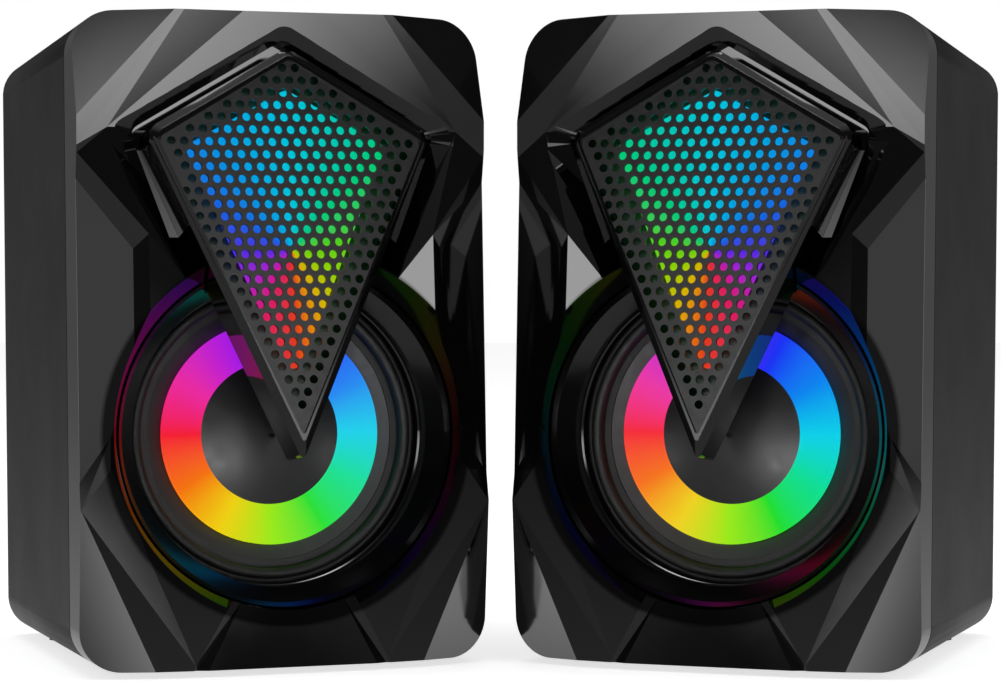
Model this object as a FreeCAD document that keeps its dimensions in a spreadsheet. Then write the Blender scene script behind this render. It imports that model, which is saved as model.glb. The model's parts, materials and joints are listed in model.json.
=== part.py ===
import FreeCAD, Part

import math
import os

import Sketcher

# A pair of small powered desktop speakers, toed in towards the listener.
#
# Row frame: +X to the listener's right, +Y to the back, +Z up, origin on the
# table under the middle of the pair.
# Front frame of each speaker: x across, y to the back and z up its leaning
# front, with y = 0 on the front's reference plane. "out" means towards -y.

doc = FreeCAD.newDocument("desktop_speakers")
sheet = doc.addObject("Spreadsheet::Sheet", "Sizes")

# ------------------------------------------------------------ driving sizes

SIZES = [
    # the pair on the table
    ("toe_angle", 20.5),
    ("lean_angle", 2.0),
    ("half_spacing", 46.4),
    ("pair_forward", 45.31),
    ("foot_height", 1.5),
    ("foot_radius", 4.5),
    ("foot_inset", 15.0),
    ("foot_front", 20.0),
    # cabinet
    ("front_width", 93.5),
    ("front_height", 144.0),
    ("cabinet_depth", 94.0),
    ("draft_angle", 2.0),
    ("front_corner", 9.0),
    ("rear_corner", 8.0),
    ("rear_edge_round", 2.5),
    ("shell_wall", 2.5),
    ("panel_depth", 12.5),
    ("panel_skin", 2.4),
    ("seam_gap", 0.5),
    ("tongue_length", 2.5),
    ("tongue_wall", 1.3),
    ("tongue_play", 0.15),
    # case screws, their wells and bosses
    ("case_screw_x", 36.5),
    ("case_screw_low", 12.5),
    ("case_screw_high", 131.5),
    ("pillar_radius", 4.2),
    ("well_radius", 3.0),
    ("well_floor", 20.0),
    ("case_pilot_radius", 1.5),
    ("case_screw_head", 2.7),
    ("case_screw_head_height", 2.0),
    ("case_screw_reach", 8.0),
    ("screw_slack", 0.05),
    # driver, measured back from the reference plane
    ("driver_height", 51.0),
    ("recess_radius", 38.6),
    ("recess_flare", 0.55),
    ("recess_flare_start", -0.5),
    ("recess_wall", 3.4),
    ("drum_end", 15.6),
    ("trim_radius", 38.4),
    ("trim_corner", 0.2),
    ("trim_crest_radius", 38.0),
    ("trim_crest", -0.1),
    ("trim_mouth_radius", 37.1),
    ("trim_mouth", 1.15),
    ("trim_throat_radius", 33.9),
    ("trim_throat", 4.7),
    ("trim_land_radius", 33.7),
    ("trim_groove_radius", 34.1),
    ("trim_groove_front", 8.1),
    ("trim_groove_back", 9.7),
    ("trim_groove_flank", 0.3),
    ("trim_skirt_radius", 33.15),
    ("flange_front", 11.0),
    ("basket_sheet", 1.2),
    ("flange_inner_radius", 34.2),
    ("gasket_thickness", 0.4),
    ("seat_inner_radius", 35.5),
    ("surround_seat", 12.8),
    ("surround_sheet", 0.5),
    ("surround_outer_radius", 32.6),
    ("surround_inner_radius", 30.1),
    ("basket_base", 34.0),
    ("basket_base_radius", 21.5),
    ("basket_base_hole", 13.2),
    ("window_width", 15.0),
    ("window_front", 17.0),
    ("window_back", 30.0),
    ("driver_screw_circle", 37.0),
    ("driver_screw_head", 1.3),
    ("driver_screw_head_height", 1.5),
    ("driver_screw_radius", 1.0),
    ("driver_screw_length", 4.2),
    # moving parts of the driver
    ("cone_edge", 14.3),
    ("cone_foot_radius", 24.9),
    ("cone_foot", 15.0),
    ("cone_sheet", 0.6),
    ("light_ring_face", 12.3),
    ("light_ring_wall", 0.9),
    ("light_ring_neck", 16.6),
    ("light_ring_sheet", 0.8),
    ("dust_cap_radius", 15.9),
    ("dust_cap_seat", 13.8),
    ("dust_cap_rise", 2.4),
    ("dust_cap_lip", 1.0),
    ("former_outer", 12.0),
    ("former_wall", 0.35),
    ("former_end", 41.0),
    ("winding_front", 35.5),
    ("winding_end", 40.5),
    ("winding_thickness", 0.6),
    ("spider_front", 25.5),
    ("spider_outer", 22.6),
    ("spider_sheet", 0.5),
    ("spider_pitch", 2.6),
    ("spider_wave", 1.1),
    # driver light board
    ("ring_board_front", 20.6),
    ("ring_board_inner", 14.5),
    ("ring_board_outer", 23.6),
    ("board_thickness", 1.2),
    ("led_size", 2.8),
    ("led_height", 0.8),
    ("ring_led_circle", 19.5),
    # magnet system
    ("top_plate_radius", 23.5),
    ("top_plate_thickness", 4.0),
    ("gap_radius", 13.0),
    ("magnet_radius", 27.5),
    ("magnet_hole", 14.5),
    ("magnet_length", 12.0),
    ("yoke_radius", 26.5),
    ("yoke_thickness", 4.0),
    ("pole_radius", 11.2),
    # kite-shaped light cover, in its own leaning plane
    ("kite_lean", 5.78),
    ("kite_centre_height", 85.0),
    ("kite_centre_out", 9.46),
    ("bezel_apex", 51.5),
    ("bezel_shoulder_x", 32.6),
    ("bezel_shoulder", 32.6),
    ("bezel_tip", -40.0),
    ("bezel_depth", 11.8),
    ("bezel_chamfer", 1.6),
    ("grille_apex", 48.6),
    ("grille_shoulder_x", 30.1),
    ("grille_shoulder", 30.7),
    ("grille_tip", -34.4),
    ("grille_setback", 0.6),
    ("grille_sheet", 0.8),
    ("hole_radius", 0.95),
    ("hole_pitch_x", 2.85),
    ("hole_pitch_z", 2.75),
    ("hole_margin", 0.35),
    ("rebate", 0.9),
    ("rebate_play", 0.1),
    ("lamp_apex", 42.5),
    ("lamp_shoulder_x", 22.6),
    ("lamp_shoulder", 30.0),
    ("lamp_tip", -22.0),
    ("lamp_front", 3.6),
    ("lamp_rim", 1.6),
    ("kite_board_front", 6.8),
    ("lamp_sheet", 2.0),
    ("cover_thickness", 1.4),
    ("bezel_gap", 0.5),
    ("bezel_flange_front", 5.0),
    ("bezel_flange_thickness", 1.8),
    ("bezel_flange_width", 5.2),
    ("bezel_flange_low", 9.5),
    # pocket in the front panel round the kite
    ("hood_apex", 142.0),
    ("hood_round", 4.0),
    ("hood_low", 60.0),
    ("hood_wall", 2.2),
    ("pocket_apex", 138.0),
    ("pocket_shoulder_x", 35.0),
    ("pocket_shoulder", 117.5),
    ("pocket_end_x", 13.2),
    ("pocket_round", 2.5),
    # rear controls and glands
    ("gland_height", 24.0),
    ("gland_radius", 4.0),
    ("gland_flange", 6.0),
    ("gland_flange_thickness", 1.6),
    ("gland_length", 9.0),
    ("lead_bore", 1.9),
    ("input_gland_x", 17.0),
    ("knob_x", 20.0),
    ("knob_height", 84.0),
    ("knob_radius", 8.0),
    ("knob_length", 10.0),
    ("knob_gap", 0.6),
    ("knob_ribs", 24),
    ("rib_radius", 0.55),
    ("shaft_radius", 3.0),
    ("shaft_length", 9.5),
    ("bush_radius", 3.45),
    ("pot_width", 15.0),
    ("pot_depth", 7.0),
    ("button_x", 20.0),
    ("button_height", 60.0),
    ("button_radius", 3.5),
    ("button_out", 1.6),
    ("button_inside", 2.2),
    ("button_flange", 4.6),
    ("button_clearance", 0.2),
    ("amp_width", 50.0),
    ("amp_height", 56.0),
    ("amp_low", 42.0),
    ("amp_standoff", 9.0),
]

# Corners of the faceted front as (x, height, out). Only the right half is
# given: the left half mirrors it.
CORNERS = {
    "crown_top": (23.7, 144.0, 1.8),
    "ear": (46.7, 114.3, 0.7),
    "shoulder": (46.7, 137.0, -4.8),
    "brow": (40.0, 118.2, 0.85),
    "cheek_top": (46.7, 112.6, 0.4),
    "cheek": (32.4, 94.8, 6.3),
    "cheek_low": (32.4, 72.0, 7.4),
    "nose": (24.1, 85.1, 6.3),
    "plate_top": (46.7, 107.0, -0.8),
    "plate": (35.2, 91.7, 3.3),
    "plate_side": (35.2, 68.0, 3.6),
    "plate_foot": (40.3, 51.0, 2.1),
    "plate_low": (46.7, 41.4, 0.0),
    "jaw": (40.4, 44.0, 2.4),
    "knee": (46.7, 35.3, 1.1),
    "chin_low": (22.0, 1.0, 2.6),
    "chin_top": (14.1, 14.8, 4.1),
    "lip_low": (18.7, 0.9, 2.95),
    "lip_top": (11.5, 14.8, 2.6),
    "toe": (46.7, 10.0, -2.0),
}

for row, (alias, value) in enumerate(SIZES, start=1):
    sheet.set("A%d" % row, alias)
    sheet.set("B%d" % row, str(value))
    sheet.setAlias("B%d" % row, alias)
first_corner_row = len(SIZES) + 2
for row, (corner, place) in enumerate(CORNERS.items(), start=first_corner_row):
    sheet.set("A%d" % row, corner)
    for column, axis, value in zip("BCD", ("x", "height", "out"), place):
        sheet.set("%s%d" % (column, row), str(value))
        sheet.setAlias("%s%d" % (column, row), corner + "_" + axis + "_at")
doc.recompute()


# ------------------------------------------------------- sizes with formulas

class Length(float):
    """A number that remembers the spreadsheet formula it comes from."""

    def __new__(cls, value, formula):
        number = float.__new__(cls, value)
        number.formula = formula
        return number

    def __add__(self, other):
        return joined(self, "+", other, float(self) + float(other))

    def __radd__(self, other):
        return joined(other, "+", self, float(other) + float(self))

    def __sub__(self, other):
        return joined(self, "-", other, float(self) - float(other))

    def __rsub__(self, other):
        return joined(other, "-", self, float(other) - float(self))

    def __mul__(self, other):
        return joined(self, "*", other, float(self) * float(other))

    def __rmul__(self, other):
        return joined(other, "*", self, float(other) * float(self))

    def __truediv__(self, other):
        return joined(self, "/", other, float(self) / float(other))

    def __neg__(self):
        return Length(-float(self), "(0 - " + self.formula + ")")


def formula_of(number):
    """Spreadsheet formula of a Length, or the number itself as text."""
    if isinstance(number, Length):
        return number.formula
    return repr(float(number))


def joined(left, sign, right, value):
    """Length made from two numbers and the sign between them."""
    return Length(value, "(%s %s %s)" % (formula_of(left), sign, formula_of(right)))


def size(alias):
    """Value of a spreadsheet cell, as a Length."""
    return Length(float(sheet.get(alias)), "Sizes." + alias)


def bind(item, name, number):
    """Set a size property and tie it to its spreadsheet formula."""
    setattr(item, name, float(number))
    if isinstance(number, Length):
        item.setExpression(name, number.formula)


# ------------------------------------------------------------- placements

def shift(x, y, z):
    """Placement that only moves."""
    return FreeCAD.Placement(FreeCAD.Vector(x, y, z), FreeCAD.Rotation())


def turn(axis, angle):
    """Placement that only turns, about an axis through the origin."""
    return FreeCAD.Placement(FreeCAD.Vector(0, 0, 0), FreeCAD.Rotation(axis, angle))


X_AXIS = FreeCAD.Vector(1, 0, 0)
Y_AXIS = FreeCAD.Vector(0, 1, 0)
Z_AXIS = FreeCAD.Vector(0, 0, 1)
ALONG_Y = turn(X_AXIS, -90)


def kite_place():
    """Place of the kite's own frame in the front frame."""
    centre = shift(0, -size("kite_centre_out"), size("kite_centre_height"))
    return centre * turn(X_AXIS, -size("kite_lean"))


class Speaker:
    """Names and placements of one speaker of the pair."""

    def __init__(self, side, sign):
        self.side = side
        self.sign = sign
        setback = shift(sign * size("half_spacing"), -size("pair_forward"), size("foot_height"))
        self.stand = setback * turn(Z_AXIS, -sign * size("toe_angle"))
        self.front = self.stand * turn(X_AXIS, -size("lean_angle"))
        self.driver = self.front * shift(0, 0, size("driver_height"))
        self.kite = self.front * kite_place()

    def label(self, name):
        return self.side + "_" + name


# ------------------------------------------------- document object helpers

nodes = []


def node(item, label):
    """Mark an object as a finished sub-part and give it its node name."""
    item.Label = label
    nodes.append(item)
    return item


def box(name, frame, lengths, corner):
    """Box with one corner at the given place of the frame."""
    item = doc.addObject("Part::Box", name)
    bind(item, "Length", lengths[0])
    bind(item, "Width", lengths[1])
    bind(item, "Height", lengths[2])
    item.Placement = frame * shift(*corner)
    return item


def rod(name, frame, radius, x, z, start, end):
    """Cylinder along y from start to end."""
    item = doc.addObject("Part::Cylinder", name)
    bind(item, "Radius", radius)
    bind(item, "Height", end - start)
    item.Placement = frame * shift(x, start, z) * ALONG_Y
    return item


def group(name, items):
    """Separate solids kept together as one object."""
    item = doc.addObject("Part::Compound", name)
    item.Links = items
    return item


def fuse(name, items):
    """One solid from several that touch."""
    item = doc.addObject("Part::MultiFuse", name)
    item.Shapes = items
    return item


def cut(name, base, tools):
    """Base with the tools taken away."""
    tool = fuse(name + "_tools", tools) if len(tools) > 1 else tools[0]
    item = doc.addObject("Part::Cut", name)
    item.Base = base
    item.Tool = tool
    return item


def shaped(name, shape, frame):
    """Part::Feature for a shape that primitives and sketches don't suit."""
    item = doc.addObject("Part::Feature", name)
    item.Shape = shape
    item.Placement = frame
    return item


class Arc:
    """End point of a round stretch of a sketched outline, with its centre."""

    def __init__(self, x, y, centre, clockwise):
        self.point = (x, y)
        self.centre = centre
        self.clockwise = clockwise


def sketch_outline(body, name, path):
    """Closed outline on the body's XY plane, every corner tied to the sheet."""
    plane = [item for item in body.Origin.OriginFeatures if item.Role == "XY_Plane"][0]
    sketch = body.newObject("Sketcher::SketchObject", name)
    sketch.AttachmentSupport = (plane, [""])
    sketch.MapMode = "FlatFace"
    points = [stop.point if isinstance(stop, Arc) else stop for stop in path]
    starts = []
    for index, stop in enumerate(path):
        before = FreeCAD.Vector(points[index - 1][0], points[index - 1][1], 0)
        after = FreeCAD.Vector(points[index][0], points[index][1], 0)
        if not isinstance(stop, Arc):
            edge = sketch.addGeometry(Part.LineSegment(before, after), False)
            starts.append((edge, 1, 2))
            continue
        centre = FreeCAD.Vector(stop.centre[0], stop.centre[1], 0)
        first, last = (after, before) if stop.clockwise else (before, after)
        angles = [math.atan2(p.y - centre.y, p.x - centre.x) for p in (first, last)]
        circle = Part.Circle(centre, Z_AXIS, (first - centre).Length)
        edge = sketch.addGeometry(Part.ArcOfCircle(circle, angles[0], angles[1]), False)
        starts.append((edge, 2, 1) if stop.clockwise else (edge, 1, 2))
        axis, value = ("DistanceX", stop.centre[0])
        if stop.centre[0] != 0:
            axis, value = ("DistanceY", stop.centre[1])
        pin_point(sketch, axis, edge, 3, value)
    for index in range(len(path)):
        edge, start, end = starts[index]
        last_edge, last_start, last_end = starts[index - 1]
        sketch.addConstraint(Sketcher.Constraint("Coincident", last_edge, last_end, edge, start))
        pin_point(sketch, "DistanceX", edge, end, points[index][0])
        pin_point(sketch, "DistanceY", edge, end, points[index][1])
    return sketch


def pin_point(sketch, axis, edge, end, value):
    """Hold one coordinate of a sketch point at a sheet value."""
    rule = Sketcher.Constraint(axis, -1, 1, edge, end, float(value))
    index = sketch.addConstraint(rule)
    if isinstance(value, Length):
        sketch.setExpression("Constraints[%d]" % index, value.formula)


def turned(name, frame, path):
    """Body turned about the frame's y axis from an outline of (radius, y)."""
    body = doc.addObject("PartDesign::Body", name)
    sketch = sketch_outline(body, name + "_outline", path)
    spin = body.newObject("PartDesign::Revolution", name + "_spin")
    spin.Profile = sketch
    spin.ReferenceAxis = (sketch, ["V_Axis"])
    spin.Angle = 360
    body.Placement = frame
    return body


def ring(name, frame, inner, outer, front, back):
    """Flat or tall ring about the frame's y axis."""
    return turned(name, frame, [(inner, front), (outer, front), (outer, back), (inner, back)])


# ------------------------------------------------------------- raw shapes

def rounded_wire(points, radii, y):
    """Closed outline in the plane y, its corners rounded by tangent arcs."""
    places = [FreeCAD.Vector(x, y, z) for x, z in points]
    edges = []
    ends = []
    for index, corner in enumerate(places):
        before = places[index - 1] - corner
        after = places[(index + 1) % len(places)] - corner
        before.normalize()
        after.normalize()
        half = before.getAngle(after) / 2
        radius = radii[index]
        start = corner + before * (radius / math.tan(half))
        end = corner + after * (radius / math.tan(half))
        inward = before + after
        inward.normalize()
        middle = corner + inward * (radius / math.sin(half) - radius)
        edges.append(Part.Arc(start, middle, end).toShape())
        ends.append((start, end))
    for index in range(len(places)):
        start = ends[index][1]
        end = ends[(index + 1) % len(places)][0]
        edges.append(Part.makeLine(start, end))
    return Part.Wire(Part.__sortEdges__(edges))


def kite_wire(apex, shoulder_x, shoulder, tip, rounds, y, grow=0.0):
    """Kite outline, symmetric in x, its straight sides moved out by grow."""
    top_slope = math.atan2(apex - shoulder, shoulder_x)
    side_slope = math.atan2(shoulder_x, shoulder - tip)
    apex = apex + grow / math.cos(top_slope)
    tip = tip - grow / math.sin(side_slope)
    rise = math.tan(top_slope)
    fall = 1 / math.tan(side_slope)
    shoulder_x = (apex - tip) / (rise + fall)
    shoulder = apex - shoulder_x * rise
    points = [(0, apex), (shoulder_x, shoulder), (0, tip), (-shoulder_x, shoulder)]
    top, side, low = rounds
    return rounded_wire(points, [top, side, low, side], y)


def kite_solid(prefix, rounds, front, back, grow=0.0):
    """Straight prism of one of the kites named in the sheet."""
    wire = kite_wire(
        size(prefix + "_apex"),
        size(prefix + "_shoulder_x"),
        size(prefix + "_shoulder"),
        size(prefix + "_tip"),
        rounds,
        front,
        grow,
    )
    return Part.Face(wire).extrude(FreeCAD.Vector(0, back - front, 0))


def envelope(front, back, inset=0.0):
    """Solid inside the drafted outer walls between two depths."""
    draft = math.tan(math.radians(size("draft_angle")))
    wires = []
    for y in (front, back):
        part_way = y / size("cabinet_depth")
        corner = size("front_corner") * (1 - part_way) + size("rear_corner") * part_way
        half = size("front_width") / 2 - y * draft - inset
        low = y * draft + inset
        high = size("front_height") - y * draft - inset
        points = [(-half, low), (half, low), (half, high), (-half, high)]
        wires.append(rounded_wire(points, [corner - inset] * 4, y))
    return Part.makeLoft(wires, True, True)


def corner_point(name):
    """Named corner of the faceted front."""
    x, height, out = [sheet.get(name + "_" + axis + "_at") for axis in ("x", "height", "out")]
    return FreeCAD.Vector(x, -out, height)


def run_out(start, end, z):
    """Point where the line from start through end reaches the height z."""
    return start + (end - start) * ((z - start.z) / (end.z - start.z))


def on_plane(first, second, third, x, z):
    """Point at x and z on the plane through three points."""
    normal = (second - first).cross(third - first)
    rest = normal.x * (x - first.x) + normal.z * (z - first.z)
    return FreeCAD.Vector(x, first.y - rest / normal.y, z)


def front_facets():
    """Polygons of the right half of the front, run out past its outline."""
    p = {name: corner_point(name) for name in CORNERS}
    side = size("front_width") / 2 + 6
    top = size("front_height") + 8
    low = -8.0
    out = {}
    for name in ("ear", "cheek_top", "plate_top", "plate_low", "knee"):
        out[name] = FreeCAD.Vector(side, p[name].y, p[name].z)
    crown_out = run_out(p["ear"], p["crown_top"], top)
    shoulder_out = on_plane(p["crown_top"], p["ear"], p["shoulder"], side, top)
    toe_out = on_plane(p["knee"], p["chin_low"], p["toe"], side, low)
    chin_out = run_out(p["chin_top"], p["chin_low"], low)
    lip_out = run_out(p["lip_top"], p["lip_low"], low)
    middle_top = FreeCAD.Vector(0, p["crown_top"].y, top)
    middle_brow = FreeCAD.Vector(0, p["brow"].y, p["brow"].z)
    middle = FreeCAD.Vector(0, p["cheek_low"].y, p["cheek_low"].z)
    middle_lip = FreeCAD.Vector(0, p["lip_top"].y, p["lip_top"].z)
    middle_out = FreeCAD.Vector(0, lip_out.y, low)
    return [
        [middle_top, crown_out, p["brow"], middle_brow],
        [crown_out, p["ear"], p["brow"]],
        [crown_out, shoulder_out, out["ear"], p["ear"]],
        [p["ear"], out["ear"], out["cheek_top"], p["cheek_top"], p["brow"]],
        [p["brow"], p["cheek_top"], p["cheek"], p["nose"]],
        [middle_brow, p["brow"], p["nose"], middle],
        [p["nose"], p["cheek"], p["cheek_low"], middle],
        [p["cheek"], p["cheek_top"], p["plate_top"], p["plate"]],
        [p["cheek_top"], out["cheek_top"], out["plate_top"], p["plate_top"]],
        [p["cheek_low"], p["cheek"], p["plate"], p["plate_side"]],
        [p["plate"], p["plate_top"], p["plate_low"], p["plate_foot"], p["plate_side"]],
        [p["plate_top"], out["plate_top"], out["plate_low"], p["plate_low"]],
        [p["plate_foot"], p["plate_low"], p["knee"], p["jaw"]],
        [p["plate_low"], out["plate_low"], out["knee"], p["knee"]],
        [p["jaw"], p["knee"], p["chin_low"], p["chin_top"]],
        [p["knee"], out["knee"], toe_out, chin_out, p["chin_low"]],
        [p["lip_top"], p["chin_top"], p["chin_low"], chin_out, lip_out],
        [p["lip_top"], lip_out, middle_out, middle_lip],
        [middle, p["cheek_low"], p["plate_side"], p["plate_foot"]],
        [middle, p["plate_foot"], p["jaw"], p["chin_top"]],
        [middle, p["chin_top"], p["lip_top"], middle_lip],
    ]


def sewn_solid(polygons):
    """Solid bounded by flat polygons that meet edge to edge."""
    faces = [Part.Face(Part.makePolygon(polygon + polygon[:1])) for polygon in polygons]
    shell = Part.Shell(faces)
    shell.sewShape()
    solid = Part.Solid(shell)
    if solid.Volume < 0:
        solid.reverse()
    return solid.removeSplitter()


def at_depth(point, y):
    """The point moved along y to a given depth."""
    return FreeCAD.Vector(point.x, y, point.z)


def faceted_block(back):
    """Solid whose front is the faceted surface and whose back is flat."""
    polygons = []
    uses = {}
    for facet in front_facets():
        for index in range(1, len(facet) - 1):
            for mirror in (1, -1):
                corners = (facet[0], facet[index], facet[index + 1])
                triangle = [FreeCAD.Vector(mirror * v.x, v.y, v.z) for v in corners]
                polygons += [triangle, [at_depth(v, back) for v in triangle]]
                for corner in range(3):
                    ends = (triangle[corner - 1], triangle[corner])
                    key = tuple(sorted((round(v.x, 5), round(v.z, 5)) for v in ends))
                    uses.setdefault(key, []).append(ends)
    for ends in uses.values():
        if len(ends) == 1:
            start, end = ends[0]
            polygons.append([start, end, at_depth(end, back), at_depth(start, back)])
    return sewn_solid(polygons)


def hood_outline(apex, shoulder, low, rounds, steps=6):
    """Points (x, z) over the hood from its left foot to its right foot."""
    mirrored = [(-low[0], low[1]), (-shoulder[0], shoulder[1])]
    places = [FreeCAD.Vector(x, 0, z) for x, z in mirrored + [(0, apex), shoulder, low]]
    points = [places[0]]
    for index, radius in zip((1, 2, 3), (rounds, rounds, rounds)):
        corner = places[index]
        before = places[index - 1] - corner
        after = places[index + 1] - corner
        before.normalize()
        after.normalize()
        half = before.getAngle(after) / 2
        inward = before + after
        inward.normalize()
        start = corner + before * (radius / math.tan(half))
        middle = corner + inward * (radius / math.sin(half) - radius)
        end = corner + after * (radius / math.tan(half))
        side = points[-1]
        points += [side + (start - side) * (step / steps) for step in range(1, steps)]
        points += Part.Arc(start, middle, end).toShape().discretize(steps + 1)
    side = points[-1]
    points += [side + (places[-1] - side) * (step / steps) for step in range(1, steps + 1)]
    return points


def hood_edge():
    """Points of the hood's outer edge, on the faceted front."""
    crown, brow, nose = [corner_point(name) for name in ("crown_top", "brow", "nose")]
    low = run_out(brow, nose, size("hood_low"))
    outline = hood_outline(size("hood_apex"), (brow.x, brow.z), (low.x, low.z),
                           size("hood_round"))
    edge = []
    for point in outline:
        line = (crown, brow) if point.z > brow.z else (nose, brow)
        edge.append(at_depth(point, run_out(line[0], line[1], point.z).y))
    return edge


def hood_pocket(front, back):
    """Cutter with sloping sides from the hood's edge in to the kite's pocket."""
    shoulder = (size("pocket_shoulder_x"), size("pocket_shoulder"))
    low = (size("pocket_end_x"), size("hood_low"))
    foot = hood_outline(size("pocket_apex"), shoulder, low, size("pocket_round"))
    overshoot = 1.3
    rim = [f + (r - f) * overshoot for f, r in zip(foot, hood_edge())]
    polygons = []
    for index in range(1, len(foot)):
        here, there = index - 1, index
        polygons += [
            [foot[here], rim[here], rim[there]],
            [foot[here], rim[there], foot[there]],
            [rim[here], rim[there], at_depth(rim[there], front), at_depth(rim[here], front)],
            [foot[here], foot[there], at_depth(foot[there], back), at_depth(foot[here], back)],
        ]
    polygons.append([at_depth(point, front) for point in rim])
    polygons.append([at_depth(point, back) for point in foot])
    polygons.append([
        at_depth(foot[0], back), foot[0], rim[0], at_depth(rim[0], front),
        at_depth(rim[-1], front), rim[-1], foot[-1], at_depth(foot[-1], back),
    ])
    return sewn_solid(polygons)


# ---------------------------------------------------------------- casing

def case_screw_places():
    """The four screw axes at the corners of the casing."""
    x = size("case_screw_x")
    heights = (size("case_screw_low"), size("case_screw_high"))
    return [(sign * x, z) for sign in (-1, 1) for z in heights]


def driver_screw_places():
    """The four driver screws, at 45 degrees to the driver's axes."""
    reach = size("driver_screw_circle") * math.sqrt(0.5)
    return [(a * reach, b * reach) for a in (-1, 1) for b in (-1, 1)]


def cylinder_y(radius, x, z, start, end):
    """Raw cylinder shape along y."""
    return Part.makeCylinder(radius, end - start, FreeCAD.Vector(x, start, z), Y_AXIS)


def front_panel_shape():
    """Faceted skin with the driver recess, the hood pocket and its bosses."""
    block = faceted_block(40.0)
    forward = -20.0
    depth = size("panel_depth")
    skin = size("panel_skin")
    driver_z = size("driver_height")
    drum_end = size("drum_end")
    filled = block.common(envelope(forward, depth))
    inside = block.translated(FreeCAD.Vector(0, skin, 0))
    inside = inside.common(envelope(forward, depth, size("shell_wall")))
    drum_radius = size("recess_radius") + size("recess_wall")
    drum = cylinder_y(drum_radius, 0, driver_z, forward - 1, drum_end)
    flange_back = size("flange_front") + size("basket_sheet") + size("gasket_thickness")
    recess = cylinder_y(size("recess_radius"), 0, driver_z, forward, flange_back)
    seat_hole = cylinder_y(size("seat_inner_radius"), 0, driver_z, forward, drum_end + 1)
    edge = [at_depth(point, forward) for point in hood_edge()]
    tray = Part.Face(Part.makePolygon(edge + edge[:1])).makeOffset2D(size("hood_wall"))
    tray = tray.extrude(FreeCAD.Vector(0, size("bezel_flange_front") - forward, 0))
    solid = filled.cut(inside)
    solid = solid.fuse(drum.common(block))
    solid = solid.fuse(tray.common(filled))
    for x, z in case_screw_places():
        boss = cylinder_y(size("pillar_radius"), x, z, forward, depth)
        solid = solid.fuse(boss.common(filled))
    gap = size("bezel_gap")
    kite_room = kite_solid("bezel", bezel_rounds(gap), forward, size("bezel_depth") + gap, gap)
    kite_room.Placement = kite_place()
    solid = solid.cut(hood_pocket(forward, depth + 1).cut(drum))
    solid = solid.cut(kite_room)
    solid = solid.cut(recess).cut(recess_flare_shape(forward)).cut(seat_hole)
    for x, z in driver_screw_places():
        pilot = size("driver_screw_radius") + size("screw_slack")
        solid = solid.cut(cylinder_y(pilot, x, driver_z + z, flange_back - 1, drum_end + 1))
    for x, z in case_screw_places():
        pilot = size("case_pilot_radius")
        solid = solid.cut(cylinder_y(pilot, x, z, size("case_screw_reach") - 1, depth + 1))
    return solid.removeSplitter()


def recess_flare_shape(front):
    """Cone that opens the recess outwards, kept clear of the lower lip."""
    start = size("recess_flare_start")
    radius = size("recess_radius")
    wide = radius + size("recess_flare") * (start - front)
    base = FreeCAD.Vector(0, start, size("driver_height"))
    flare = Part.makeCone(radius, wide, start - front, base, -Y_AXIS)
    low, high = corner_point("chin_low"), corner_point("chin_top")
    lip = [run_out(high, low, -8.0), run_out(low, high, 20.0)]
    right = [at_depth(point, front - 1) for point in lip]
    left = [FreeCAD.Vector(-point.x, point.y, point.z) for point in reversed(right)]
    face = Part.Face(Part.makePolygon(right + left + right[:1]))
    return flare.cut(face.extrude(FreeCAD.Vector(0, start - front + 2, 0)))


def bezel_rounds(grow=0.0):
    """Corner radii of the kite's outer outline: apex, shoulders and tip."""
    return [4.0 + grow, 3.4 + grow, 0.8 + grow]


def cabinet_shell_shape(glands, controls):
    """Rear shell with its screw pillars and the holes in its back."""
    wall = size("shell_wall")
    depth = size("cabinet_depth")
    start = size("panel_depth") + size("seam_gap")
    outer = envelope(start, depth)
    rear_edges = [edge for edge in outer.Edges if edge.BoundBox.YMin > depth - 0.01]
    outer = outer.makeFillet(size("rear_edge_round"), rear_edges)
    inner = envelope(start - 10, depth - wall, wall)
    solid = outer.cut(inner)
    tongue_start = size("panel_depth") - size("tongue_length")
    tongue_end = start + size("tongue_length")
    tongue_inset = wall + size("tongue_play")
    tongue = envelope(tongue_start, tongue_end, tongue_inset)
    tongue_root = envelope(start, tongue_end, wall - size("tongue_play"))
    tongue_room = envelope(tongue_start - 1, tongue_end + 1, tongue_inset + size("tongue_wall"))
    solid = solid.fuse(tongue.fuse(tongue_root).cut(tongue_room))
    pillar_front = size("panel_depth") + size("seam_gap") / 2
    for x, z in case_screw_places():
        solid = solid.fuse(cylinder_y(size("pillar_radius"), x, z, pillar_front, depth - wall / 2))
    for x, z in case_screw_places():
        corner_room = cylinder_y(size("pillar_radius") + 0.2, x, z, 0, pillar_front)
        solid = solid.cut(corner_room)
        solid = solid.cut(cylinder_y(size("well_radius"), x, z, size("well_floor"), depth + 1))
        solid = solid.cut(cylinder_y(size("case_pilot_radius"), x, z, 0, depth))
    drum_radius = size("recess_radius") + size("recess_wall") + size("tongue_play")
    drum_room_end = size("drum_end") + size("tongue_play")
    drum_room = cylinder_y(drum_radius, 0, size("driver_height"), 0, drum_room_end)
    solid = solid.cut(drum_room)
    for x, z, radius in glands + controls:
        solid = solid.cut(cylinder_y(radius, x, z, depth - wall - 1, depth + 1))
    return solid.removeSplitter()


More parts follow.
